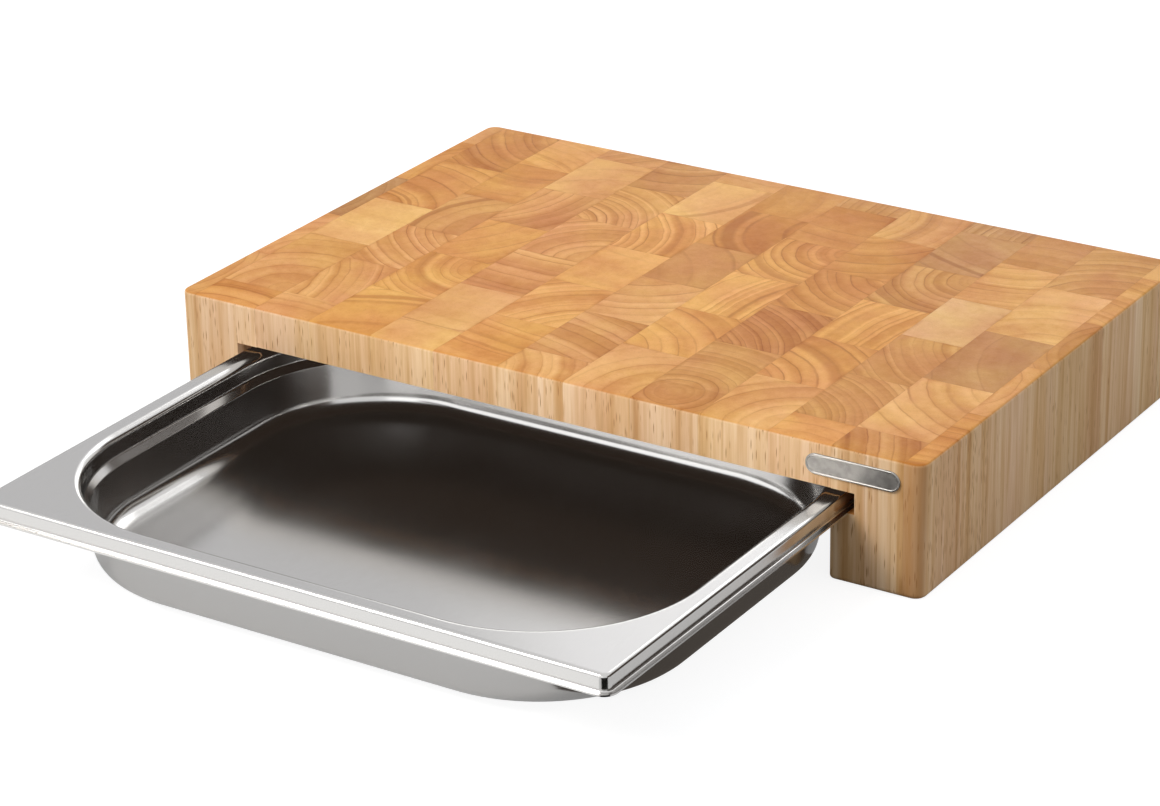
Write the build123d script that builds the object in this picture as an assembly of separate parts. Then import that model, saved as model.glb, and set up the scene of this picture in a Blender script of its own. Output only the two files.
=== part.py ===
from build123d import *
import os

# All sizes in mm. X runs across the board, Y from front to back, Z up from the table.
# The origin is on the table, midway along the whole object with its tray pulled out.

# Steel tray: a pressed pan whose rim turns down and ends in a small outward lip
tray_width = 325.0
tray_length = 265.0
tray_height = 40.0
sheet = 0.8
lip = 2.6
rim_height = 8.3
rim_corner = 4.0         # plan radius of the rim's outer corners
rim_edge_radius = 1.2
lip_radius = 1.0
flange = 10.2            # flat rim and its bend, from the skirt to the bowl's wall
opening_radius = 3.2     # bend from the flat rim down into the bowl
opening_corner = 78.0    # plan radius of the bowl's corners, where the rim bends down
shoulder_depth = 9.3     # stacking shoulder, below the rim's top
shoulder_drop = 3.2
shoulder_step = 2.8
shoulder_radius = 1.5
upper_lean = 0.2         # how far the wall leans in above the shoulder
lower_lean = 1.0         # and below it
floor_radius = 9.6

# Clearances between the tray and the board
body_clearance = 3.0     # bowl to each leg
rim_clearance = 2.5      # lip to the bottom of each groove
run_clearance = 0.2      # lip to the ledge it runs on
top_clearance = 1.5      # rim to the slab above it
end_margin = 1.0         # board stands past the closed tray, front and back
table_clearance = 2.5    # tray's floor to the table
tray_pull = 193.8        # how far the tray stands out of the front face

# Board: end-grain blocks glued into strips
leg_thickness = 44.5
edge_strip = 9.5
strip_width = 35.0
narrowest_strip = 20.0
slab_thickness = 20.0
block_length = 50.2
leg_block_length = 61.7
edge_block_length = 59.5
cut_a = 24.0             # first joint from the front face, in every other slab strip
cut_b = 50.6             # first joint in the strips between them
leg_cut = 23.0
edge_cut = 58.5
shortest_block = 12.0
corner_radius = 6.0
top_edge = 1.5
foot_edge = 3.0

# Name plate, left bare
plate_width = 45.6
plate_height = 9.5
plate_thickness = 1.0
plate_border = 0.9
plate_sink = 0.35
plate_from_side = 33.9   # plate's middle to the board's right side
plate_from_top = 10.0    # plate's middle to the chopping face

# Worked out from the sizes above
skirt_x = tray_width / 2 - lip
skirt_y = tray_length / 2 - lip
slot_half = skirt_x - (flange - sheet) + body_clearance
groove_half = tray_width / 2 + rim_clearance
ledge_z = table_clearance + tray_height - rim_height - run_clearance
slab_z = ledge_z + run_clearance + rim_height + top_clearance
board_width = 2 * (slot_half + leg_thickness)
board_depth = tray_length + 2 * end_margin
board_height = slab_z + slab_thickness
front_y = -(board_depth - tray_pull) / 2
back_y = front_y + board_depth
tray_y = front_y - tray_pull + tray_length / 2
rim_top = table_clearance + tray_height


def block(x0, x1, y0, y1, z0, z1):
    """A plain block between two corners."""
    return Pos((x0 + x1) / 2, (y0 + y1) / 2, (z0 + z1) / 2) * Box(x1 - x0, y1 - y0, z1 - z0)


def board_blank():
    """The whole glued-up board with its slot milled and its edges rounded, before it is divided."""
    half = board_width / 2
    blank = block(-half, half, front_y, back_y, 0, board_height)
    blank = fillet(blank.edges().filter_by(Axis.Z), corner_radius)
    blank = fillet(blank.faces().sort_by(Axis.Z)[-1].edges(), top_edge)
    past = corner_radius
    blank -= block(-slot_half, slot_half, front_y - past, back_y + past, -past, slab_z)
    blank -= block(-groove_half, groove_half, front_y - past, back_y + past, ledge_z, slab_z)
    soles = blank.faces().sort_by(Axis.Z)[:2]
    return fillet(soles.edges(), foot_edge)


def joints(first, length):
    """Places along the depth where a strip's blocks meet, with both ends."""
    places = [front_y]
    y = front_y + first
    while y < back_y - shortest_block:
        places.append(y)
        y += length
    places.append(back_y)
    return places


def strip(blank, x0, x1, first, length):
    """One strip of the board: its blocks as separate solids, glued end to end."""
    ends = joints(first, length)
    blocks = []
    for y0, y1 in zip(ends, ends[1:]):
        blocks += (blank & block(x0, x1, y0, y1, 0, board_height)).solids()
    return Compound(children=blocks)


def board_strips():
    """Every strip by name, from the left side to the right."""
    blank = board_blank()
    half = board_width / 2
    inner = half - edge_strip
    strips = {
        "left_edge_strip": strip(blank, -half, -inner, edge_cut, edge_block_length),
        "left_leg_strip": strip(blank, -inner, -slot_half, leg_cut, leg_block_length),
    }
    full = int((2 * slot_half - 2 * narrowest_strip) // strip_width)
    fitted = (2 * slot_half - full * strip_width) / 2
    x = -slot_half
    for i in range(full + 2):
        width = fitted if i in (0, full + 1) else strip_width
        first = cut_a if i % 2 == 0 else cut_b
        strips[f"slab_strip_{i + 1}"] = strip(blank, x, x + width, first, block_length)
        x += width
    strips["right_leg_strip"] = strip(blank, slot_half, inner, leg_cut, leg_block_length)
    strips["right_edge_strip"] = strip(blank, inner, half, edge_cut, edge_block_length)
    return strips


def bent_sheet(points, radii, inset, corner):
    """Sheet bent along points, (inset from the skirt, height) across one side, and swept all round.

    corner is the plan radius at that inset.
    """
    line = FilletPolyline(*[(skirt_x - i, z) for i, z in points], radius=radii)
    section = (Plane.XZ * trace(line, line_width=sheet)).face()
    x, y = skirt_x - inset, skirt_y - inset
    half_way = FilletPolyline((x, 0), (x, y), (-x, y), (-x, 0), radius=corner)
    half_ring = sweep(section, path=half_way)
    return half_ring + mirror(half_ring, about=Plane.XZ)


def plate_of_sheet(inset, corner, z):
    """Flat sheet with rounded corners, its top at z."""
    outline = RectangleRounded(2 * (skirt_x - inset), 2 * (skirt_y - inset), corner)
    return Pos(0, 0, z) * extrude(outline, -sheet)


def tray():
    """The pressed tray, about its own middle with the rim's top at height 0."""
    mid = sheet / 2
    wall = flange - mid
    rim = bent_sheet(
        [
            (-lip, -rim_height + mid),
            (mid, -rim_height + mid),
            (mid, -mid),
            (mid + rim_edge_radius + sheet, -mid),
        ],
        [lip_radius, rim_edge_radius],
        mid,
        rim_corner - mid,
    )
    flat_end = wall - opening_radius
    foot = wall + upper_lean + shoulder_step + lower_lean
    floor_end = foot + floor_radius + sheet
    bowl = bent_sheet(
        [
            (flat_end - sheet, -mid),
            (wall, -mid),
            (wall + upper_lean, -shoulder_depth),
            (wall + upper_lean + shoulder_step, -shoulder_depth - shoulder_drop),
            (foot, -tray_height + mid),
            (floor_end, -tray_height + mid),
        ],
        [opening_radius, shoulder_radius, shoulder_radius, floor_radius],
        flat_end,
        opening_corner,
    )
    rim_end = mid + rim_edge_radius + sheet / 2
    flat = plate_of_sheet(rim_end, rim_corner - rim_end, 0)
    opening = plate_of_sheet(flat_end - mid, opening_corner + mid, 0)
    floor_start = floor_end - mid
    floor = plate_of_sheet(floor_start, opening_corner + flat_end - floor_start, -tray_height + sheet)
    return rim + (flat - opening) + bowl + floor


def name_plate():
    """Oblong plate with a raised border, standing on the front face."""
    outline = SlotOverall(plate_width, plate_height)
    field = SlotOverall(plate_width - 2 * plate_border, plate_height - 2 * plate_border)
    body = extrude(Plane.XZ * outline, plate_thickness)
    sunk = extrude(Plane.XZ.offset(plate_thickness - plate_sink) * field, plate_sink)
    x = board_width / 2 - plate_from_side
    z = board_height - plate_from_top
    return Pos(x, front_y, z) * (body - sunk)


pieces = board_strips()
pieces["tray"] = Pos(0, tray_y, rim_top) * tray()
pieces["name_plate"] = name_plate()

os.makedirs("parts", exist_ok=True)
for name, piece in pieces.items():
    export_step(piece, f"parts/{name}.step")
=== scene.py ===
import math
import random

import bmesh
import bpy
from mathutils import Matrix, Vector


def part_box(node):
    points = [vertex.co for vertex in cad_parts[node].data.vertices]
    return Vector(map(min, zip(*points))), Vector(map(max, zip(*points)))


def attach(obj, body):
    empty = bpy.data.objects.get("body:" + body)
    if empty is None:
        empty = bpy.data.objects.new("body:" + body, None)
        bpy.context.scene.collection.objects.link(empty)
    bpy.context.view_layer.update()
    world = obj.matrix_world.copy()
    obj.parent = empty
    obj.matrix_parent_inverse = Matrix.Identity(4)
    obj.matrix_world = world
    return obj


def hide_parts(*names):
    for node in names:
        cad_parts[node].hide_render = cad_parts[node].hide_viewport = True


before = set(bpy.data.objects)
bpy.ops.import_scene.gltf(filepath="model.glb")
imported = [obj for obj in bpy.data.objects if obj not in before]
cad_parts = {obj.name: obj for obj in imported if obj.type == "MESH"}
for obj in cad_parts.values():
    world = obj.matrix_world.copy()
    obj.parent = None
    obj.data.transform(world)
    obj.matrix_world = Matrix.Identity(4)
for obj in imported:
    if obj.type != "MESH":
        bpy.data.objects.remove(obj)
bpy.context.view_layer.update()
bpy.ops.object.select_all(action="DESELECT")

MM = 0.001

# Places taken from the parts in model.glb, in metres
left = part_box("left_edge_strip")[0].x
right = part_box("right_edge_strip")[1].x
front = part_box("slab_strip_1")[0].y
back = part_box("slab_strip_1")[1].y
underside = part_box("slab_strip_1")[0].z
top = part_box("slab_strip_1")[1].z
slot_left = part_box("left_leg_strip")[1].x
slot_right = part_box("right_leg_strip")[0].x
tray_low, tray_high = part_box("tray")
plate_low, plate_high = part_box("name_plate")

# Board's edges and the grooves that the tray's rim runs in
corner_radius = 6 * MM
top_edge = 1.5 * MM
foot_edge = 3 * MM
eased_edge = 0.4 * MM
past = 10 * MM                  # how far a cut, or an outer block's pattern, runs past the wood
groove_clearance = 2.5 * MM
ledge_clearance = 0.2 * MM

# Tray's sheet, from its rim to its floor
sheet = 0.8 * MM
lip = 2.6 * MM
skirt_depth = 7.5 * MM
skirt_corner = 4 * MM
rim_bend = 1.7 * MM
lip_bend = 0.7 * MM
flat_start = 3 * MM
flat_end = 5.6 * MM
flat_margin = 0.4 * MM
opening_corner = 84 * MM
floor_depth = 38.1 * MM
floor_end = 25 * MM
dish_end = 70 * MM
dish = 1.1 * MM

# Name plate's border
border_rise = 0.3 * MM

UPRIGHT = Matrix.Rotation(math.radians(90), 4, "X")     # stands a flat shape up, facing the front


# ---------------------------------------------------------------- modelling by hand

def edit(piece, kind="EDGE"):
    """Take one piece into edit mode, with nothing selected in it."""
    bpy.ops.object.select_all(action="DESELECT")
    piece.select_set(True)
    bpy.context.view_layer.objects.active = piece
    bpy.ops.object.mode_set(mode="EDIT")
    bpy.ops.mesh.select_mode(type=kind)
    bpy.ops.mesh.select_all(action="DESELECT")


def done():
    """Back to object mode."""
    bpy.ops.object.mode_set(mode="OBJECT")


def pick(kind, wanted):
    """Select the vertices, edges or faces whose own place passes the test."""
    mesh = bmesh.from_edit_mesh(bpy.context.object.data)
    for part in getattr(mesh, kind):
        if wanted(part):
            part.select_set(True)
    bmesh.update_edit_mesh(bpy.context.object.data)


def ends(edge):
    """An edge's two end points."""
    return edge.verts[0].co, edge.verts[1].co


def along(edge, axis):
    """Whether a straight edge runs along one axis, given as 0, 1 or 2."""
    a, b = ends(edge)
    run = b - a
    return abs(run[axis]) > 0.999 * run.length


def bevel(radius, segments, affect):
    """Round the selected edges or vertices."""
    bpy.ops.mesh.bevel(offset_type="OFFSET", offset=radius, segments=segments, profile=0.5, affect=affect)


def bevel_edges(wanted, radius, segments):
    """Round the edges that pass the test, and leave nothing selected."""
    pick("edges", wanted)
    bevel(radius, segments, "EDGES")
    bpy.ops.mesh.select_all(action="DESELECT")


def new_block(name, low, high):
    """A block between two corners, its place already in its mesh."""
    low, high = Vector(low), Vector(high)
    bpy.ops.mesh.primitive_cube_add(size=1)
    piece = bpy.context.object
    piece.name = name
    size = high - low
    piece.data.transform(Matrix.Translation((low + high) / 2) @ Matrix.Diagonal((*size, 1)))
    return piece


def twin(piece, name):
    """A copy with a mesh of its own."""
    copy = piece.copy()
    copy.data = piece.data.copy()
    copy.name = name
    bpy.context.scene.collection.objects.link(copy)
    return copy


def keep_between(piece, axis, low, high):
    """Saw a piece off at two planes square to an axis and close the sawn faces."""
    normal = Vector((0, 0, 0))
    normal[axis] = 1
    for place, beyond in ((low, "clear_inner"), (high, "clear_outer")):
        co = [v.co[axis] for v in piece.data.vertices]
        if min(co) > place - 1e-6 or max(co) < place + 1e-6:
            continue
        edit(piece)
        bpy.ops.mesh.select_all(action="SELECT")
        bpy.ops.mesh.bisect(plane_co=normal * place, plane_no=normal, use_fill=True, **{beyond: True})
        done()


def remove(piece):
    """Throw away a piece and its mesh."""
    mesh = piece.data
    bpy.data.objects.remove(piece)
    bpy.data.meshes.remove(mesh)


def cut_away(piece, tool):
    """Cut a tool's shape out of a piece."""
    bpy.ops.object.select_all(action="DESELECT")
    bpy.context.view_layer.objects.active = piece
    cut = piece.modifiers.new("cut", "BOOLEAN")
    cut.operation = "DIFFERENCE"
    cut.object = tool
    cut.solver = "EXACT"
    bpy.ops.object.modifier_apply(modifier=cut.name)
    remove(tool)


def join(pieces, name):
    """Make one piece of several, each still a closed shape of its own."""
    bpy.ops.object.select_all(action="DESELECT")
    for piece in pieces:
        piece.select_set(True)
    bpy.context.view_layer.objects.active = pieces[0]
    bpy.ops.object.join()
    pieces[0].name = name
    return pieces[0]


def smooth(piece, degrees=35):
    """Shade a piece smooth, but for edges sharper than the angle."""
    bpy.ops.object.select_all(action="DESELECT")
    piece.select_set(True)
    bpy.context.view_layer.objects.active = piece
    bpy.ops.object.shade_smooth_by_angle(angle=math.radians(degrees))
    bpy.ops.object.select_all(action="DESELECT")


def bent(corners, radii, step_degrees=15):
    """Points along a bent line: its corners are rounded with arcs, its ends are kept."""
    points = [Vector(corners[0])]
    for before, corner, after, radius in zip(corners, corners[1:], corners[2:], radii):
        corner = Vector(corner)
        inward = (Vector(before) - corner).normalized()
        onward = (Vector(after) - corner).normalized()
        opening = inward.angle(onward)
        turn = math.pi - opening
        middle = corner + (inward + onward).normalized() * (radius / math.sin(opening / 2))
        start = corner + inward * (radius / math.tan(opening / 2)) - middle
        steps = max(2, round(math.degrees(turn) / step_degrees))
        way = 1 if inward.x * onward.y - inward.y * onward.x < 0 else -1
        for i in range(steps + 1):
            angle = way * turn * i / steps
            c, s = math.cos(angle), math.sin(angle)
            points.append(middle + Vector((start.x * c - start.y * s, start.x * s + start.y * c)))
    points.append(Vector(corners[-1]))
    return points


# ---------------------------------------------------------------- materials

def srgb(red, green, blue):
    """A colour as it is seen, 0 to 255, made linear."""
    seen = [value / 255 for value in (red, green, blue)]
    return tuple(v / 12.92 if v <= 0.04045 else ((v + 0.055) / 1.055) ** 2.4 for v in seen)


class Finish:
    """A material whose nodes are added and wired one at a time."""

    def __init__(self, name):
        self.material = bpy.data.materials.new(name)
        self.material.use_nodes = True
        self.tree = self.material.node_tree
        self.shader = self.tree.nodes["Principled BSDF"]

    def put(self, socket, value):
        """Wire a socket to another node's output, or set it."""
        if isinstance(value, bpy.types.NodeSocket):
            self.tree.links.new(value, socket)
        elif hasattr(value, "__len__") and len(value) == 3 and socket.type == "RGBA":
            socket.default_value = (*value, 1)
        else:
            socket.default_value = value

    def add(self, kind, inputs=(), **settings):
        node = self.tree.nodes.new("ShaderNode" + kind)
        for key, value in settings.items():
            setattr(node, key, value)
        for key, value in dict(inputs).items():
            self.put(node.inputs[key], value)
        return node

    def maths(self, operation, a, b=0.0, clamp=False):
        node = self.add("Math", {0: a, 1: b}, operation=operation, use_clamp=clamp)
        return node.outputs[0]

    def times(self, a, b):
        return self.maths("MULTIPLY", a, b)

    def vector(self, operation, a, b=(0, 0, 0)):
        node = self.add("VectorMath", {0: a, 1: b}, operation=operation)
        return node.outputs["Value" if operation in ("LENGTH", "DOT_PRODUCT") else "Vector"]

    def stretch(self, value, low, high, out_low=0.0, out_high=1.0, kind="SMOOTHSTEP"):
        """Take a value from one range to another, and keep it there."""
        inputs = {"Value": value, "From Min": low, "From Max": high, "To Min": out_low, "To Max": out_high}
        return self.add("MapRange", inputs, interpolation_type=kind).outputs["Result"]

    def noise(self, place, scale, detail=2.0, rough=0.5, kind="Fac"):
        inputs = {"Vector": place, "Scale": scale, "Detail": detail, "Roughness": rough}
        return self.add("TexNoise", inputs).outputs[kind]

    def blend(self, factor, a, b, how="MIX"):
        """Mix two colours, through the node's sockets of that kind."""
        node = self.add("Mix", data_type="RGBA", blend_type=how)
        self.put(node.inputs["Factor"], factor)
        self.put(node.inputs[6], a)
        self.put(node.inputs[7], b)
        return node.outputs[2]

    def tinted(self, colour, tint):
        return self.blend(1.0, colour, tint, "MULTIPLY")

    def attribute(self, name, output="Vector"):
        return self.add("Attribute", attribute_name=name).outputs[output]

    def parts_of(self, vector):
        return self.add("SeparateXYZ", {0: vector}).outputs

    def together(self, x, y, z=0.0):
        return self.add("CombineXYZ", {0: x, 1: y, 2: z}).outputs[0]

    def relief(self, height, distance, strength=1.0):
        inputs = {"Strength": strength, "Distance": distance, "Height": height}
        return self.add("Bump", inputs).outputs["Normal"]

    def finish(self, **inputs):
        """Fill in the shader's own inputs, _ for each space in their names."""
        for key, value in inputs.items():
            self.put(self.shader.inputs[key.replace("_", " ")], value)
        return self.material


def oiled_wood():
    """Oiled hardwood with its fibres upright: rings round each block's pith, and pores.

    Each block brings its own pith, growth (ring pitch, contrast, seed), streak (distance from the
    pith, width, strength), tone and edges as attributes.
    """
    wood = Finish("oiled_end_grain")
    place = wood.add("TexCoord").outputs["Object"]
    growth = wood.parts_of(wood.attribute("growth"))
    pitch, seed = growth[0], growth[2]
    own = wood.vector("ADD", place, wood.together(seed, seed, seed))

    # Distance from the pith, wavering slightly and hardly at all up the fibre
    upright = wood.vector("MULTIPLY", own, (1, 1, 0.06))
    waver = wood.vector("SUBTRACT", wood.noise(upright, 28, 2, 0.5, "Color"), (0.5, 0.5, 0.5))
    fine_waver = wood.vector("SUBTRACT", wood.noise(upright, 170, 2, 0.5, "Color"), (0.5, 0.5, 0.5))
    moved = wood.vector("ADD", place, wood.vector("MULTIPLY", waver, (5 * MM, 5 * MM, 0)))
    moved = wood.vector("ADD", moved, wood.vector("MULTIPLY", fine_waver, (0.9 * MM, 0.9 * MM, 0)))
    across = wood.vector("SUBTRACT", moved, wood.attribute("pith"))
    radius = wood.vector("LENGTH", wood.vector("MULTIPLY", across, (1, 1, 0)))
    contrast = wood.times(growth[1], wood.stretch(radius, 3 * MM, 17 * MM, 0.25, 1.0))

    # Each year runs from pale early wood to a brown late band with a fine dark line at its end
    turns = wood.maths("DIVIDE", radius, pitch)
    spread = wood.add("TexNoise", {"W": wood.maths("ADD", turns, seed), "Scale": 0.4, "Detail": 1},
                      noise_dimensions="1D").outputs["Fac"]
    turns = wood.maths("ADD", turns, wood.times(spread, 1.7))
    year = wood.maths("FRACT", turns)
    which = wood.add("TexWhiteNoise", {"W": wood.maths("ADD", wood.maths("FLOOR", turns), seed)},
                     noise_dimensions="1D").outputs["Value"]
    along_ring = wood.stretch(wood.noise(upright, 60, 2), 0.3, 0.6, 0.35, 1.0)
    late = wood.times(wood.stretch(year, 0.25, 0.9), wood.stretch(year, 0.93, 1.0, 1, 0))
    late = wood.times(late, wood.stretch(which, 0, 1, 0.3, 1.0, "LINEAR"))
    late = wood.times(late, wood.times(contrast, 0.6))
    line = wood.times(wood.stretch(year, 0.80, 0.91), wood.stretch(year, 0.92, 0.98, 1, 0))
    line = wood.times(line, wood.stretch(which, 0.1, 0.8, 0.25, 1.0, "LINEAR"))
    line = wood.times(wood.times(line, along_ring), contrast)
    early = wood.times(wood.stretch(year, 0.02, 0.12), wood.stretch(year, 0.15, 0.5, 1, 0))
    early = wood.times(early, wood.times(contrast, 0.6))
    streak_at = wood.parts_of(wood.attribute("streak"))
    off_streak = wood.maths("ABSOLUTE", wood.maths("SUBTRACT", radius, streak_at[0]))
    streak = wood.stretch(wood.maths("DIVIDE", off_streak, streak_at[1]), 0.35, 1.0, 1, 0)
    streak = wood.times(streak, streak_at[2])

    # Broad bands of faster and slower years, a soft cloud, and a drift from side to side
    bands = wood.add("TexNoise", {"W": wood.maths("ADD", wood.times(turns, 0.6), seed),
                                  "Scale": 0.8, "Detail": 1}, noise_dimensions="1D").outputs["Fac"]
    band = wood.stretch(bands, 0.3, 0.7, -1, 1)
    band = wood.times(band, wood.maths("ADD", wood.times(contrast, 0.15), 0.03))
    cloud = wood.stretch(wood.noise(upright, 32, 3), 0.25, 0.75, -1, 1, "LINEAR")
    offset = wood.vector("SUBTRACT", place, wood.attribute("middle"))
    aside = wood.vector("DIVIDE", offset, wood.attribute("half"))
    heading = wood.times(seed, 40)
    compass = wood.together(wood.maths("SINE", heading), wood.maths("COSINE", heading))
    drift = wood.times(wood.vector("DOT_PRODUCT", aside, compass), 0.06)

    # Fibre and pores, which are specks on the end grain and streaks down the sides
    fibre_place = wood.vector("MULTIPLY", own, (1, 1, 0.035))
    fibre = wood.stretch(wood.noise(fibre_place, 1000, 3, 0.65), 0.3, 0.7, -1, 1, "LINEAR")
    coarse_fibre = wood.stretch(wood.noise(fibre_place, 300, 3, 0.6), 0.3, 0.7, -1, 1, "LINEAR")
    cells = wood.add("TexVoronoi", {"Vector": wood.vector("MULTIPLY", own, (1, 1, 0.1)), "Scale": 1050})
    crowd = wood.stretch(wood.noise(fibre_place, 90, 2), 0.35, 0.65, 0.75, 0.25)
    chosen = wood.maths("SUBTRACT", wood.parts_of(cells.outputs["Color"])[0], crowd)
    pore = wood.times(wood.stretch(cells.outputs["Distance"], 0.12, 0.36, 1, 0),
                      wood.stretch(chosen, 0, 0.1, 0, 1, "LINEAR"))

    # End grain on the top, paler side grain on the sides
    facing = wood.parts_of(wood.add("TexCoord").outputs["Normal"])[2]
    end_grain = wood.stretch(wood.maths("ABSOLUTE", facing), 0.45, 0.85)

    def by_face(on_sides, on_end_grain):
        return wood.stretch(end_grain, 0, 1, on_sides, on_end_grain)

    tone = wood.attribute("tone", "Color")
    side_tone = wood.blend(0.66, tone, srgb(246, 214, 174))
    base = wood.blend(end_grain, side_tone, tone)
    warm = wood.blend(wood.stretch(cloud, -1, 1), (0.99, 0.92, 0.98), (1.01, 1.05, 0.87))
    base = wood.blend(by_face(0.4, 1.0), base, wood.tinted(base, warm))

    shade = wood.maths("ADD", band, wood.maths("ADD", drift, wood.times(cloud, 0.07)))
    shade = wood.maths("ADD", shade, wood.times(fibre, by_face(0.06, 0.03)))
    shade = wood.maths("ADD", shade, wood.times(coarse_fibre, by_face(0.14, 0.03)))
    mottle = wood.stretch(wood.noise(fibre_place, 130, 2), 0.3, 0.7, -1, 1, "LINEAR")
    shade = wood.maths("ADD", shade, wood.times(mottle, by_face(0.02, 0.045)))
    shade = wood.maths("ADD", shade, wood.times(early, 0.12))
    shade = wood.maths("ADD", shade, 1.0)
    # What darkens the wood takes more from its blue than from its red
    depth = wood.add("CombineColor", {
        0: wood.maths("POWER", shade, 0.8),
        1: wood.maths("POWER", shade, 1.35),
        2: wood.maths("POWER", shade, 2.3),
    }).outputs[0]
    lit = wood.tinted(base, depth)
    soft_late = wood.tinted(lit, (0.77, 0.59, 0.38))
    colour = wood.blend(late, lit, soft_late)
    dark_line = wood.tinted(base, (0.50, 0.31, 0.15))
    colour = wood.blend(wood.times(line, by_face(0.5, 0.95)), colour, dark_line)
    colour = wood.blend(streak, colour, wood.tinted(base, (0.56, 0.36, 0.19)))
    pore_strength = wood.times(pore, by_face(0.85, 0.25))
    colour = wood.blend(pore_strength, colour, wood.tinted(base, (0.55, 0.38, 0.26)))

    # Faint glue lines between the blocks
    room = wood.parts_of(wood.vector("SUBTRACT", wood.attribute("half"), wood.vector("ABSOLUTE", offset)))
    gap = wood.maths("MINIMUM", room[0], room[1])
    glue = wood.stretch(gap, 0.05 * MM, 0.4 * MM, 0.3, 0.0)
    glue = wood.times(glue, wood.stretch(wood.noise(own, 90, 2), 0.35, 0.65, 0.0, 1.0))
    colour = wood.blend(glue, colour, wood.tinted(base, (0.5, 0.36, 0.2)))
    stain = wood.times(wood.stretch(gap, 0.2 * MM, 2.2 * MM, 0.5, 0.0),
                       wood.stretch(wood.noise(own, 55, 2), 0.48, 0.7))
    colour = wood.blend(stain, colour, wood.tinted(colour, (0.74, 0.56, 0.36)))

    gloss = wood.stretch(wood.maths("ADD", coarse_fibre, line), -1, 1, 0.58, 0.48, "LINEAR")
    height = wood.maths("ADD", wood.times(fibre, 0.35), wood.times(pore, -1.0))
    height = wood.maths("ADD", height, wood.times(line, 0.4))
    wood.shader.inputs["Specular IOR Level"].default_value = 0.08
    return wood.finish(Base_Color=colour, Roughness=gloss, Normal=wood.relief(height, 0.06 * MM, 0.5))


def satin_steel():
    """Pressed stainless steel with a fine satin finish."""
    steel = Finish("satin_steel")
    place = steel.add("TexCoord").outputs["Object"]
    grain = steel.noise(steel.vector("MULTIPLY", place, (12, 1, 12)), 220, 2)
    worn = steel.noise(place, 18, 2)
    rough = steel.stretch(worn, 0.3, 0.7, 0.15, 0.18, "LINEAR")
    colour = steel.blend(steel.stretch(grain, 0.2, 0.8), (0.585, 0.575, 0.565), (0.615, 0.607, 0.598))
    steel.shader.inputs["Metallic"].default_value = 1.0
    return steel.finish(Base_Color=colour, Roughness=rough)


def cast_plate():
    """Nickel plate with a dull, pitted field."""
    plate = Finish("cast_plate")
    place = plate.add("TexCoord").outputs["Object"]
    pits = plate.noise(place, 1500, 3, 0.6)
    worn = plate.noise(place, 300, 3)
    colour = plate.blend(plate.stretch(worn, 0.35, 0.65), (0.335, 0.322, 0.305), (0.41, 0.395, 0.375))
    plate.shader.inputs["Metallic"].default_value = 1.0
    return plate.finish(Base_Color=colour, Roughness=plate.stretch(worn, 0.3, 0.7, 0.3, 0.45),
                        Normal=plate.relief(pits, 0.05 * MM, 0.6))


# ---------------------------------------------------------------- the board

# Tones of the oiled end grain
TONES = {
    "straw": srgb(238, 183, 115),
    "honey": srgb(231, 168, 97),
    "golden": srgb(226, 162, 89),
    "amber": srgb(219, 153, 84),
    "tan": srgb(222, 160, 95),
    "peach": srgb(229, 170, 106),
    "rose_tan": srgb(223, 159, 97),
    "rose": srgb(215, 152, 90),
    "sand": srgb(228, 176, 120),
    "orange": srgb(210, 143, 76),
    "russet": srgb(198, 130, 71),
    "brown": srgb(209, 148, 85),
    "umber": srgb(189, 133, 82),
    "grey_brown": srgb(200, 144, 89),
}

# Where the slab's strips are jointed, in mm from the front. The two rows of places take turns.
NEAR_JOINTS = (24, 74.2, 124.4, 174.6, 224.8)
FAR_JOINTS = (50.6, 100.8, 151, 201.2, 251.4)

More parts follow.
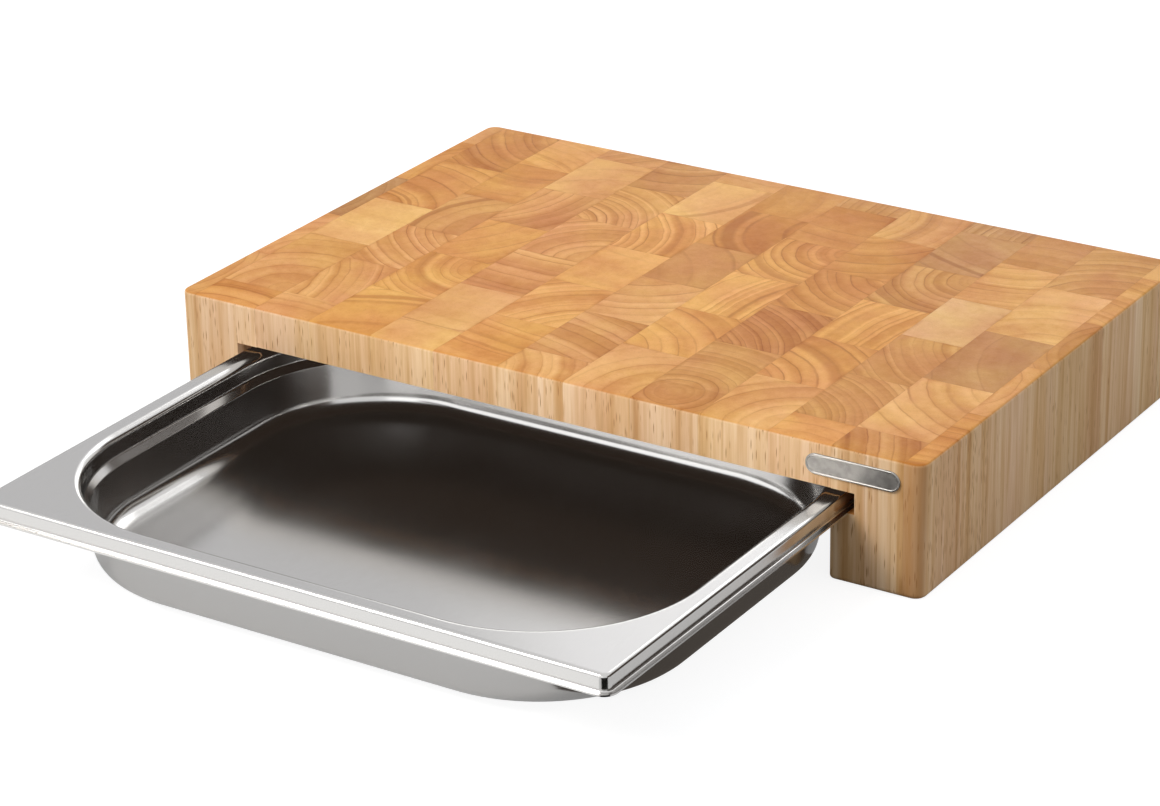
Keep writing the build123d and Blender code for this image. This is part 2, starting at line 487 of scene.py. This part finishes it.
# Each strip from left to right: its joints in mm from the front, and its blocks from front to back.
# A block has its tone, the pith's place in mm (x from the board's middle, y from its front), the ring
# pitch in mm and the contrast. Where it has a streak, the streak's distance from the pith and its
# half width in mm and its strength follow.
STRIPS = {
    "left_edge_strip": (
        (58.5, 118, 177, 237),
        (
            ("rose", -240, 30, 6, 0.3),
            ("rose_tan", -160, 60, 7, 0.3),
            ("umber", -230, 140, 6, 0.4),
            ("amber", -150, 190, 7, 0.4),
            ("peach", -150, 250, 9, 0.3),
        ),
    ),
    "left_leg_strip": (
        (23, 92, 147.6, 209),
        (
            ("amber", -170, -53, 12, 0.55, (69, 1.4, 0.5)),
            ("tan", -157, 27, 9, 0.4),
            ("straw", -165, 250, 14, 0.15),
            ("amber", -193, 129, 9, 0.6, (31, 1.6, 0.5)),
            ("orange", -135, 280, 6, 0.55, (72, 6, 0.3)),
        ),
    ),
    "slab_strip_1": (
        NEAR_JOINTS,
        (
            ("rose_tan", -138, -60, 12, 0.25, (77, 1.5, 0.2)),
            ("rose_tan", -215, 22, 5.5, 0.55),
            ("rose_tan", -97, 148, 5, 0.7),
            ("rose", -96, 136, 9, 0.35, (56, 2.8, 0.55)),
            ("amber", -142, 254, 14, 0.35, (50, 3, 0.25)),
            ("honey", -165, 170, 6, 0.35),
        ),
    ),
    "slab_strip_2": (
        FAR_JOINTS,
        (
            ("golden", -60, -76, 19, 0.45, (127, 3, 0.5)),
            ("golden", -84, 98, 5, 0.45, (35, 3.5, 0.35)),
            ("golden", -165, 165, 9, 0.3),
            ("rose_tan", -160, 195, 7, 0.45, (72, 14, 0.28)),
            ("peach", -80, 180, 16, 0.15),
            ("rose", -40, 200, 8, 0.4),
        ),
    ),
    "slab_strip_3": (
        NEAR_JOINTS,
        (
            ("straw", -60, -90, 20, 0.1),
            ("peach", -70, 160, 25, 0.1, (135, 0.9, 0.35)),
            ("rose_tan", -66, 260, 7.5, 0.5, (180, 5, 0.3)),
            ("rose_tan", -46, 128, 7, 0.6),
            ("tan", -98, 161, 4, 0.7),
            ("brown", -86, 292, 9, 0.45),
        ),
    ),
    "slab_strip_4": (
        FAR_JOINTS,
        (
            ("golden", -15, 185, 9, 0.3, (169, 1.6, 0.35)),
            ("honey", 8, 34, 5.5, 0.45),
            ("honey", -20, 250, 18, 0.12),
            ("honey", -85, 154, 5.2, 0.7),
            ("straw", -85, 248, 20, 0.1, (65, 2.6, 0.4)),
            ("tan", -30, 320, 12, 0.2),
        ),
    ),
    "slab_strip_5": (
        NEAR_JOINTS,
        (
            ("peach", -60, -20, 5.5, 0.5),
            ("rose", -40, -70, 6.5, 0.7),
            ("peach", -29, 155, 9, 0.4),
            ("brown", -70, 100, 16, 0.3),
            ("orange", 42, 214, 15, 0.5, (55, 5, 0.5)),
            ("orange", -60, 240, 12, 0.2),
        ),
    ),
    "slab_strip_6": (
        FAR_JOINTS,
        (
            ("peach", 65, 6, 9, 0.4),
            ("golden", 2, 34, 8, 0.5),
            ("honey", 160, 106, 5, 0.55),
            ("amber", 54, 197, 5, 0.7, (43, 3, 0.3)),
            ("orange", 40, 300, 13, 0.2),
            ("brown", 200, 259, 4.5, 0.5),
        ),
    ),
    "slab_strip_7": (
        NEAR_JOINTS,
        (
            ("brown", 66, 16, 4.6, 0.45),
            ("brown", 66, 16, 4.6, 0.5),
            ("russet", 31, 53, 3.4, 0.7),
            ("orange", 100, 192, 6, 0.6),
            ("orange", 47, 242, 9, 0.35),
            ("tan", 20, 245, 7, 0.35, (49, 4, 0.4)),
        ),
    ),
    "slab_strip_8": (
        FAR_JOINTS,
        (
            ("peach", 135, 6, 9, 0.45),
            ("amber", 72, 34, 8.4, 0.6, (58, 5, 0.3)),
            ("golden", 230, 106, 5, 0.65),
            ("brown", 124, 197, 5, 0.8, (47, 4, 0.35)),
            ("grey_brown", 150, 320, 14, 0.3, (118, 2.2, 0.5)),
            ("grey_brown", 270, 259, 4.5, 0.6),
        ),
    ),
    "slab_strip_9": (
        (23, 72, 123, 173.4, 224.2),
        (
            ("honey", 140, -40, 11, 0.2),
            ("brown", 106, 9, 3.4, 0.5),
            ("brown", 187, 140, 5, 0.5),
            ("sand", 130, 60, 20, 0.1),
            ("tan", 119, 267, 6, 0.4),
            ("brown", 140, 170, 12, 0.2),
        ),
    ),
    "right_leg_strip": (
        (23, 84, 145.5, 207),
        (
            ("brown", 95, -25, 6, 0.75),
            ("peach", 212, 103, 9.5, 0.55),
            ("grey_brown", 240, 135, 12, 0.2, (62, 12, 0.2)),
            ("peach", 187, 129, 9, 0.25),
            ("brown", 190, 195, 7, 0.5),
        ),
    ),
    "right_edge_strip": (
        (60, 118, 177, 240),
        (
            ("amber", 193, -60, 7, 0.5, (60, 5, 0.6)),
            ("tan", 160, 90, 7, 0.35),
            ("brown", 230, 150, 7, 0.45),
            ("tan", 170, 120, 6, 0.45),
            ("peach", 230, 250, 8, 0.3),
        ),
    ),
}


def slab():
    """The board's top slab between the legs, its front and back edges rounded."""
    piece = new_block("slab", (slot_left, front, underside), (slot_right, back, top))
    edit(piece)
    bevel_edges(lambda e: along(e, 0) and ends(e)[0].z > top - MM, top_edge, 4)
    bevel_edges(lambda e: along(e, 0) and ends(e)[0].z < underside + MM, eased_edge, 2)
    done()
    return piece


def side(outer, inner, groove):
    """One whole side of the board, leg and edge strips together, with its groove."""
    way = 1 if inner > outer else -1
    piece = new_block("side", (min(outer, inner), front, 0), (max(outer, inner), back, top))
    edit(piece)
    bevel_edges(lambda e: along(e, 2) and abs(ends(e)[0].x - outer) < MM, corner_radius, 8)

    def outer_top(e):
        joint = along(e, 1) and abs(ends(e)[0].x - inner) < MM / 10
        return min(p.z for p in ends(e)) > top - MM and not joint

    bevel_edges(outer_top, top_edge, 4)
    bevel_edges(lambda e: max(p.z for p in ends(e)) < MM, foot_edge, 6)
    done()
    ledge = tray_high.z - skirt_depth - sheet - ledge_clearance
    ends_x = sorted((groove, inner + way * past))
    tool = new_block("tool", (ends_x[0], front - past, ledge), (ends_x[1], back + past, underside))
    cut_away(piece, tool)
    return piece


def mark_block(piece, low, high, tone, pith_x, pith_y, pitch, contrast, streak=(0, 1, 0)):
    """Give a block what its grain is drawn from. Blocks that share a pith share their rings."""
    seed = random.Random(f"{pith_x} {pith_y}").uniform(1, 9)
    # No glue line follows the board's outer faces, so the pattern runs past them
    low = [low[0] - past * (low[0] <= left), low[1] - past * (low[1] <= front)]
    high = [high[0] + past * (high[0] >= right), high[1] + past * (high[1] >= back)]
    values = {
        "pith": (pith_x * MM, front + pith_y * MM, 0),
        "growth": (pitch * MM, contrast, seed),
        "streak": (streak[0] * MM, streak[1] * MM, streak[2]),
        "tone": TONES[tone],
        "middle": ((low[0] + high[0]) / 2, (low[1] + high[1]) / 2, 0),
        "half": ((high[0] - low[0]) / 2, (high[1] - low[1]) / 2, 1),
    }
    for name, value in values.items():
        layer = piece.data.attributes.new(name, "FLOAT_VECTOR", "POINT")
        layer.data.foreach_set("vector", list(value) * len(piece.data.vertices))


def saw_strip(source, node):
    """Saw one strip out of the glued-up board, block by block, and dress it."""
    places, blocks = STRIPS[node]
    low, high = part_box(node)
    strip = twin(source, node + "_sawn")
    keep_between(strip, 0, low.x, high.x)
    cuts = [front] + [front + place * MM for place in places] + [back]
    made = []
    for i, block in enumerate(blocks):
        piece = twin(strip, f"{node}_block_{i}")
        keep_between(piece, 1, cuts[i], cuts[i + 1])
        mark_block(piece, (low.x, cuts[i]), (high.x, cuts[i + 1]), *block)
        made.append(piece)
    remove(strip)
    piece = join(made, node + "_wood")
    smooth(piece)
    return piece


def board():
    """Every strip of the board, sawn from one slab and two sides."""
    groove_half = tray_high.x + groove_clearance
    sources = {
        "left": side(left, slot_left, -groove_half),
        "slab": slab(),
        "right": side(right, slot_right, groove_half),
    }
    wood = oiled_wood()
    for node in STRIPS:
        piece = saw_strip(sources[node.split("_")[0]], node)
        piece.data.materials.clear()
        piece.data.materials.append(wood)
        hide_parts(node)
        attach(piece, "board")
    for source in sources.values():
        remove(source)


# ---------------------------------------------------------------- the tray

def outline(name, inset, corner, depth, segments):
    """A flat sheet with rounded corners, inset from the tray's skirt and below its rim."""
    bpy.ops.mesh.primitive_plane_add(size=1)
    piece = bpy.context.object
    piece.name = name
    half_x = (tray_high.x - tray_low.x) / 2 - lip - inset
    half_y = (tray_high.y - tray_low.y) / 2 - lip - inset
    middle = (tray_low + tray_high) / 2
    place = Matrix.Translation((middle.x, middle.y, tray_high.z - depth))
    piece.data.transform(place @ Matrix.Diagonal((2 * half_x, 2 * half_y, 1, 1)))
    edit(piece, "VERT")
    bpy.ops.mesh.select_all(action="SELECT")
    bevel(corner, segments, "VERTICES")
    bpy.ops.mesh.select_mode(type="FACE")
    bpy.ops.mesh.select_all(action="SELECT")
    return piece


def press(points):
    """Press the selected face through rings at each (inset, depth) in turn."""
    for before, after in zip(points, points[1:]):
        step = after - before
        bpy.ops.mesh.inset(thickness=max(step.x, 1e-6), depth=-step.y)


def tray():
    """The pressed tray: rim and bowl are pressed apart, then joined by the flat rim."""
    rim_line = bent(
        [(-lip, skirt_depth), (0, skirt_depth), (0, 0), (flat_start, 0)],
        [lip_bend, rim_bend],
        step_degrees=13,
    )
    rim = outline("rim", -lip, skirt_corner + lip, skirt_depth, 10)
    press(rim_line + [Vector((flat_start + flat_margin, 0))])
    bpy.ops.mesh.delete(type="ONLY_FACE")
    done()

    # Corners and bends of the bowl's section: rim, stacking shoulder, wall, floor
    bowl_line = bent(
        [
            (flat_end, 0),
            (10.2 * MM, 0),
            (10.4 * MM, 9.7 * MM),
            (13.2 * MM, 12.9 * MM),
            (14.2 * MM, floor_depth),
            (floor_end, floor_depth),
        ],
        [3.6 * MM, 1.9 * MM, 1.1 * MM, 9.2 * MM],
        step_degrees=9,
    )
    # The floor falls away a little toward its middle
    for step in (0.15, 0.3, 0.45, 0.6, 0.8, 1.0):
        still = 1 - step
        inset = dish_end - (dish_end - floor_end) * still
        bowl_line.append(Vector((inset, floor_depth + dish - dish * still ** 2)))
    bowl = outline("bowl", flat_end - flat_margin, opening_corner - flat_end, 0, 28)
    press([Vector((flat_end - flat_margin, 0))] + bowl_line)
    done()

    piece = join([rim, bowl], "tray_pressed")
    edit(piece)
    pick("edges", lambda e: e.is_boundary and min(p.z for p in ends(e)) > tray_high.z - MM / 10)
    bpy.ops.mesh.fill(use_beauty=True)
    bpy.ops.mesh.select_all(action="SELECT")
    bpy.ops.mesh.normals_make_consistent(inside=False)
    done()
    return piece


def finished_tray():
    """The pressed tray with its sheet's thickness and its finish."""
    piece = tray()
    # The sheet grows downwards and outwards, so the bowl's floor has to face up
    floor_faces = [p for p in piece.data.polygons if p.area > 0.01]
    if floor_faces and floor_faces[0].normal.z < 0:
        piece.data.flip_normals()
    bpy.context.view_layer.objects.active = piece
    wall = piece.modifiers.new("wall", "SOLIDIFY")
    wall.thickness = sheet
    wall.offset = -1
    wall.use_even_offset = True
    bpy.ops.object.modifier_apply(modifier=wall.name)
    smooth(piece, 40)
    piece.data.materials.clear()
    piece.data.materials.append(satin_steel())
    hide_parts("tray")
    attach(piece, "tray")


# ---------------------------------------------------------------- the bare name plate

def name_plate():
    """Oblong plate with round ends, a raised border and a bare field."""
    bpy.ops.mesh.primitive_plane_add(size=1)
    piece = bpy.context.object
    piece.name = "name_plate_bare"
    width = plate_high.x - plate_low.x
    height = plate_high.z - plate_low.z
    thickness = plate_high.y - plate_low.y
    edit(piece, "VERT")
    bpy.ops.mesh.select_all(action="SELECT")
    bpy.ops.transform.resize(value=(width, height, 1))
    bevel(height / 2, 16, "VERTICES")
    bpy.ops.mesh.remove_doubles(threshold=MM / 100)
    bpy.ops.mesh.select_mode(type="FACE")
    bpy.ops.mesh.select_all(action="SELECT")
    bpy.ops.mesh.extrude_region_move(TRANSFORM_OT_translate={"value": (0, 0, thickness - border_rise)})
    # The border rises in two steps, runs flat, and falls to the field, all in mm
    for inset, rise in ((0.12, 0.22), (0.2, 0.08), (0.35, 0), (0.15, -0.12), (0.15, -0.23)):
        bpy.ops.mesh.inset(thickness=inset * MM, depth=rise * MM)
    done()
    middle = (plate_low + plate_high) / 2
    piece.data.transform(Matrix.Translation((middle.x, plate_high.y, middle.z)) @ UPRIGHT)
    smooth(piece, 50)
    piece.data.materials.append(cast_plate())
    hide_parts("name_plate")
    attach(piece, "board")


# ---------------------------------------------------------------- floor, light and camera

def floor():
    """A plain white floor that keeps the object's soft shadow, also where the steel shows it."""
    bpy.ops.mesh.primitive_plane_add(size=30)
    piece = bpy.context.object
    piece.name = "floor"
    white = Finish("white_floor")
    ray = white.add("LightPath").outputs
    mirrored = white.maths("MAXIMUM", ray["Is Glossy Ray"], ray["Is Transmission Ray"])
    glow = white.maths("ADD", white.times(ray["Is Camera Ray"], 0.88),
                       white.times(mirrored, 0.24))
    white.shader.inputs["Specular IOR Level"].default_value = 0.0
    piece.data.materials.append(white.finish(
        Base_Color=white.blend(mirrored, (0.3, 0.3, 0.3), (0.55, 0.55, 0.55)), Roughness=1.0,
        Emission_Color=(1, 1, 1), Emission_Strength=glow))


def card(name, place, glow):
    """A glowing card beside the set that nothing but the steel's reflections shows: a painted reflection,
    as dark or bright as glow.
    """
    bpy.ops.mesh.primitive_plane_add(size=1)
    piece = bpy.context.object
    piece.name = name
    piece.data.transform(place)
    paper = Finish(name)
    paper.shader.inputs["Specular IOR Level"].default_value = 0.0
    piece.data.materials.append(paper.finish(
        Base_Color=(0, 0, 0), Roughness=1.0, Emission_Color=glow, Emission_Strength=1.0))
    piece.visible_camera = False
    piece.visible_diffuse = False
    piece.visible_shadow = False
    piece.visible_transmission = False


def standing_card(name, bearing, half_width, low, high, distance, glow):
    """A card facing the object: bearing from the front toward the right, heights in degrees above it."""
    bottom, upper = (distance * math.tan(math.radians(angle)) for angle in (low, high))
    width = 2 * distance * math.tan(math.radians(half_width))
    turn = Matrix.Rotation(math.radians(bearing), 4, "Z")
    place = Matrix.Translation((0, -distance, (bottom + upper) / 2)) @ UPRIGHT
    card(name, turn @ place @ Matrix.Diagonal((width, upper - bottom, 1, 1)), glow)


def lying_card(name, low, high, glow):
    """A card flat on the floor."""
    place = Matrix.Translation(((low[0] + high[0]) / 2, (low[1] + high[1]) / 2, 0.3 * MM))
    card(name, place @ Matrix.Diagonal((high[0] - low[0], high[1] - low[1], 1, 1)), glow)


def cards():
    """Glowing cards that only the steel's reflections show, and that paint them: painted shade from the
    dark ones, a painted dark rim low all round, painted highlights from the bright ones.

    A standing card has its bearing, half width, lowest and highest edge in degrees, then its distance.
    """
    brown = (0.034, 0.024, 0.018)
    black = (0.012, 0.011, 0.010)
    # Painted reflections in the steel: the brown and black cards paint shade, the glowing ones paint
    # highlights
    standing_card("front_left_card", -38, 34, 26, 31, 1.6, brown)
    standing_card("front_left_bright_painted_reflection", -38, 34, 6, 26, 1.65, (1.6, 1.6, 1.6))
    standing_card("front_bright_painted_reflection", 9, 13, 14, 32, 1.6, (1.8, 1.8, 1.8))
    standing_card("right_card", 112, 46, 0, 38, 1.8, (0.085, 0.066, 0.054))
    standing_card("back_bright_card", 201, 13, 25, 40, 2.6, (1.25, 1.25, 1.27))
    standing_card("back_bright_painted_reflection", 201, 13, 8, 25, 2.6, (2.5, 2.5, 2.45))
    standing_card("back_left_card", 233, 17, 3, 45, 2.6, (0.76, 0.76, 0.77))
    for i, bearing in enumerate(range(0, 360, 45)):
        standing_card(f"room_edge_card_{i}", bearing, 24, 0, 5, 3.2, black)
    # Cards on the floor, seen only in the steel: a painted dark reflection at the tray's front-right
    # corner, a painted shadow of the tray beside its right side, and a painted highlight in front of it to
    # the left
    lying_card("corner_card", (0.165, -0.8), (0.6, -0.245), black)
    lying_card("shade_card", (0.13, -0.24), (0.198, -0.02), (0.09, 0.078, 0.068))
    lying_card("bright_painted_reflection", (-0.7, -0.62), (0.125, -0.262), (1.25, 1.25, 1.24))
    # Cards just in front of and under the slab, seen only in the steel, paint its reflection there:
    # painted shade for the front face and underside, and a painted highlight for the face's upper half
    slab_edge = top - 10 * MM
    for name, low, high, glow in (
        ("slab_card", underside, slab_edge, brown),
        ("slab_edge_card", slab_edge, top, (0.80, 0.77, 0.73)),
    ):
        place = Matrix.Translation((0, front - 0.2 * MM, (low + high) / 2)) @ UPRIGHT
        card(name, place @ Matrix.Diagonal((right - left, high - low, 1, 1)), glow)
    under_slab = Matrix.Translation((0, (front + back) / 2, underside - 0.5 * MM))
    card("under_slab_card", under_slab @ Matrix.Diagonal((0.32, back - front, 1, 1)), brown)


def surroundings():
    """White all round for what is seen, and a plain soft fill for what is lit."""
    world = bpy.data.worlds.new("surroundings")
    bpy.context.scene.world = world
    world.use_nodes = True
    tree = world.node_tree
    fill = tree.nodes["Background"]
    ray = tree.nodes.new("ShaderNodeLightPath").outputs
    seen = ray["Is Camera Ray"]
    for other in ("Is Glossy Ray", "Is Transmission Ray"):
        either = tree.nodes.new("ShaderNodeMath")
        either.operation = "MAXIMUM"
        tree.links.new(seen, either.inputs[0])
        tree.links.new(ray[other], either.inputs[1])
        seen = either.outputs[0]
    level = tree.nodes.new("ShaderNodeMapRange")
    level.inputs["To Min"].default_value = 0.46
    level.inputs["To Max"].default_value = 1.0
    tree.links.new(seen, level.inputs["Value"])
    tint = tree.nodes.new("ShaderNodeMix")
    tint.data_type = "RGBA"
    tint.inputs[6].default_value = (0.97, 1.0, 1.05, 1)
    tint.inputs[7].default_value = (1, 1, 1, 1)
    tree.links.new(seen, tint.inputs["Factor"])
    tree.links.new(tint.outputs[2], fill.inputs["Color"])
    tree.links.new(level.outputs["Result"], fill.inputs["Strength"])


def soft_light(name, place, aim, size, power, tint, mirrored=True):
    """A soft box. The steel shows it too, unless it isn't mirrored."""
    lamp = bpy.data.lights.new(name, "AREA")
    lamp.color = tint
    lamp.shape = "RECTANGLE"
    lamp.size, lamp.size_y = size
    lamp.energy = power
    holder = bpy.data.objects.new(name, lamp)
    bpy.context.scene.collection.objects.link(holder)
    toward = Vector(aim) - Vector(place)
    holder.location = place
    holder.rotation_euler = toward.to_track_quat("-Z", "Y").to_euler()
    holder.visible_glossy = mirrored


def lights():
    soft_light("key", (-1.3, -1.75, 2.1), (0, 0, 0.03), (1.2, 1.2), 57, (1.0, 0.97, 0.93))
    soft_light("back", (-0.15, 1.9, 1.5), (0, 0, 0.03), (1.3, 0.6), 5, (1.0, 1.0, 1.0))
    soft_light("right", (1.15, 0.2, 0.7), (0.2, 0.1, 0.05), (0.5, 0.5), 1.3, (1.0, 0.98, 0.95),
               mirrored=False)


def camera():
    """The photograph's view: a long lens from the right, a little above the board."""
    azimuth = math.radians(32.837)
    elevation = math.radians(23.933)
    roll = math.radians(-1.116)
    distance = 1.6951
    aim = Vector((-0.00226, 0.00804, 0.032))
    forward = Vector((-math.sin(azimuth) * math.cos(elevation),
                      math.cos(azimuth) * math.cos(elevation),
                      -math.sin(elevation)))
    eye = bpy.data.cameras.new("camera")
    eye.sensor_width = 36
    eye.lens = 114.38
    holder = bpy.data.objects.new("camera", eye)
    bpy.context.scene.collection.objects.link(holder)
    turned = forward.to_track_quat("-Z", "Y").to_matrix().to_4x4() @ Matrix.Rotation(roll, 4, "Z")
    holder.matrix_world = Matrix.Translation(aim - forward * distance) @ turned
    bpy.context.scene.camera = holder


board()
finished_tray()
name_plate()
floor()
cards()
surroundings()
lights()
camera()
bpy.context.scene.view_settings.view_transform = "Standard"
